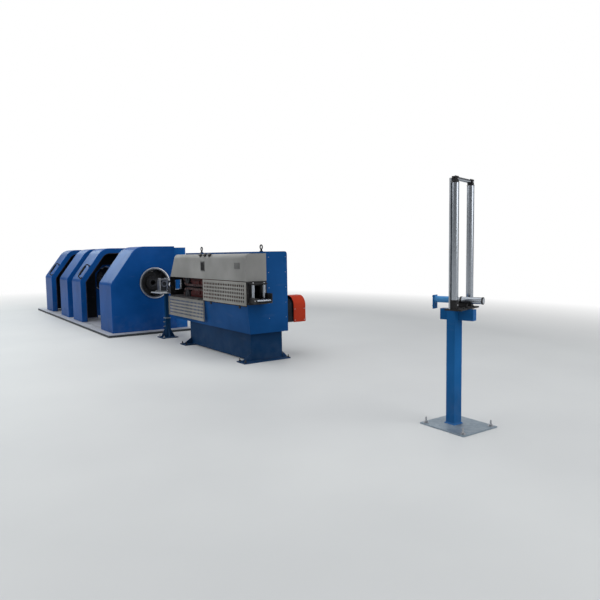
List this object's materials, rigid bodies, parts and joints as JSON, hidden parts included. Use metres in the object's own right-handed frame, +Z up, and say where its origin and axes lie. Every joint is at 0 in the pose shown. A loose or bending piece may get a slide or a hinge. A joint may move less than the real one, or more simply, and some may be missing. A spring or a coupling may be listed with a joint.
{
  "type": "cage cabling line",
  "caption": "Factory line that twists strands into cable: enclosed cage heads with sliding housings, die post, twin-belt haul-off and guide roller stand.",
  "frame": {"origin": "on the floor under the cable axis, at the outlet face of the first enclosed head", "axes": "+X downstream along the cable, +Y to the drive side behind the line, +Z up"},
  "size_m": [14.985, 1.96, 2.173],
  "materials": {
    "plinth": "matt dark grey paint",
    "deck": "light grey paint",
    "housing_blue": "gloss gentian blue paint",
    "rear_blue": "gloss blue paint",
    "ring_bright": "turned bright steel",
    "rail_steel": "worn bright steel",
    "handle_black": "black plastic coating",
    "cage_grey": "semi-gloss grey paint",
    "bobbin_grey": "worn grey iron",
    "shaft_steel": "machined steel",
    "frame_grey": "semi-gloss grey paint",
    "post_blue": "gloss blue paint",
    "plate_bright": "brushed aluminium",
    "die_bright": "polished steel",
    "hauloff_blue": "gloss gentian blue paint",
    "hood_grey": "satin warm grey paint",
    "guard_grey": "satin warm grey paint",
    "track_black": "worn black rubber",
    "press_red": "satin red-brown paint",
    "black_steel": "matt black paint",
    "roller_steel": "polished steel",
    "motor_grey": "dark grey paint",
    "cover_red": "satin red-orange paint",
    "base_metal": "zinc-plated steel"
  },
  "bodies": {
    "line_frame": {"bearing_stand_1": "frame_grey", "bearing_stand_2": "frame_grey", "carrier_tube": "roller_steel", "die_block": "die_bright", "die_post": "post_blue", "die_table": "plate_bright", "end_plates": "black_steel", "fixed_housing_1": "housing_blue", "fixed_housing_2": "housing_blue", "foot_inlet": "hauloff_blue", "foot_outlet": "hauloff_blue", "gate_brackets": "black_steel", "guard_hinges": "black_steel", "guide_frame": "die_bright", "haul_body": "hauloff_blue", "haul_column": "hauloff_blue", "haul_hood": "hood_grey", "head_deck": "deck", "head_plinth": "plinth", "hood_rails_1": "rail_steel", "hood_rails_2": "rail_steel", "lifting_eyes": "shaft_steel", "motor": "motor_grey", "motor_cover": "cover_red", "outlet_ring_1": "ring_bright", "outlet_ring_2": "ring_bright", "pedestal": "hauloff_blue", "rear_housing_1": "rear_blue", "rear_housing_2": "rear_blue", "roller_caps": "black_steel", "roller_table": "black_steel", "stand_plate": "base_metal", "stand_post": "post_blue", "track_beam_lower": "press_red", "track_beam_upper": "press_red", "track_lower": "track_black", "track_upper": "track_black", "track_wheels_lower": "shaft_steel", "track_wheels_upper": "shaft_steel"},
    "hood_1": {"sliding_housing_1": "housing_blue", "pull_handle_1": "handle_black"},
    "hood_2": {"sliding_housing_2": "housing_blue", "pull_handle_2": "handle_black"},
    "rotor_1": {"cage_1": "cage_grey", "bobbins_1": "bobbin_grey", "rotor_shaft_1": "shaft_steel"},
    "rotor_2": {"cage_2": "cage_grey", "bobbins_2": "bobbin_grey", "rotor_shaft_2": "shaft_steel"},
    "door_inlet": {"guard_inlet": "guard_grey"},
    "door_outlet": {"guard_outlet": "guard_grey"},
    "outlet_spin_front": {"outlet_roller_front": "roller_steel"},
    "outlet_spin_rear": {"outlet_roller_rear": "roller_steel"},
    "outlet_spin_sill": {"outlet_roller_sill": "roller_steel"},
    "inlet_spin_front": {"inlet_roller_front": "roller_steel"},
    "inlet_spin_rear": {"inlet_roller_rear": "roller_steel"},
    "inlet_spin_sill": {"inlet_roller_sill": "roller_steel"},
    "post_spin_front": {"stand_roller_front": "roller_steel"},
    "post_spin_rear": {"stand_roller_rear": "roller_steel"},
    "post_spin_top": {"stand_roller_top": "roller_steel"}
  },
  "joints": [
    {"name": "hood_1_slide", "type": "slide", "parent": "line_frame", "child": "hood_1", "axis": [1, 0, 0], "range_m": [0, 1.54]},
    {"name": "hood_2_slide", "type": "slide", "parent": "line_frame", "child": "hood_2", "axis": [1, 0, 0], "range_m": [-0.485, 1.055]},
    {"name": "rotor_1_spin", "type": "hinge", "parent": "line_frame", "child": "rotor_1", "pos_m": [-0.8, 0, 1], "axis": [1, 0, 0], "continuous": true},
    {"name": "rotor_2_spin", "type": "hinge", "parent": "line_frame", "child": "rotor_2", "pos_m": [-4.49, 0, 1], "axis": [1, 0, 0], "continuous": true},
    {"name": "door_inlet_hinge", "type": "hinge", "parent": "line_frame", "child": "door_inlet", "pos_m": [1.8, -0.172, 0.816], "axis": [1, 0, 0], "range_deg": [-180, 0]},
    {"name": "door_outlet_hinge", "type": "hinge", "parent": "line_frame", "child": "door_outlet", "pos_m": [3.2, -0.172, 0.816], "axis": [1, 0, 0], "range_deg": [0, 180]},
    {"name": "inlet_spin_front_axle", "type": "hinge", "parent": "line_frame", "child": "inlet_spin_front", "pos_m": [1.14, -0.088, 1.018], "axis": [0, 0, 1], "continuous": true},
    {"name": "inlet_spin_rear_axle", "type": "hinge", "parent": "line_frame", "child": "inlet_spin_rear", "pos_m": [1.14, 0.088, 1.018], "axis": [0, 0, 1], "continuous": true},
    {"name": "inlet_spin_sill_axle", "type": "hinge", "parent": "line_frame", "child": "inlet_spin_sill", "pos_m": [1.01, 0, 0.8995], "axis": [0, 1, 0], "continuous": true},
    {"name": "outlet_spin_front_axle", "type": "hinge", "parent": "line_frame", "child": "outlet_spin_front", "pos_m": [4.115, -0.088, 1.018], "axis": [0, 0, 1], "continuous": true},
    {"name": "outlet_spin_rear_axle", "type": "hinge", "parent": "line_frame", "child": "outlet_spin_rear", "pos_m": [4.115, 0.088, 1.018], "axis": [0, 0, 1], "continuous": true},
    {"name": "outlet_spin_sill_axle", "type": "hinge", "parent": "line_frame", "child": "outlet_spin_sill", "pos_m": [4.245, 0, 0.8995], "axis": [0, 1, 0], "continuous": true},
    {"name": "post_spin_front_axle", "type": "hinge", "parent": "line_frame", "child": "post_spin_front", "pos_m": [7.76024, -0.19579, 1.6255], "axis": [0, 0, 1], "continuous": true},
    {"name": "post_spin_rear_axle", "type": "hinge", "parent": "line_frame", "child": "post_spin_rear", "pos_m": [7.66376, 0.11979, 1.6255], "axis": [0, 0, 1], "continuous": true},
    {"name": "post_spin_top_axle", "type": "hinge", "parent": "line_frame", "child": "post_spin_top", "pos_m": [7.712, -0.038, 2.156], "axis": [-0.2924, 0.9563, 0], "continuous": true}
  ]
}
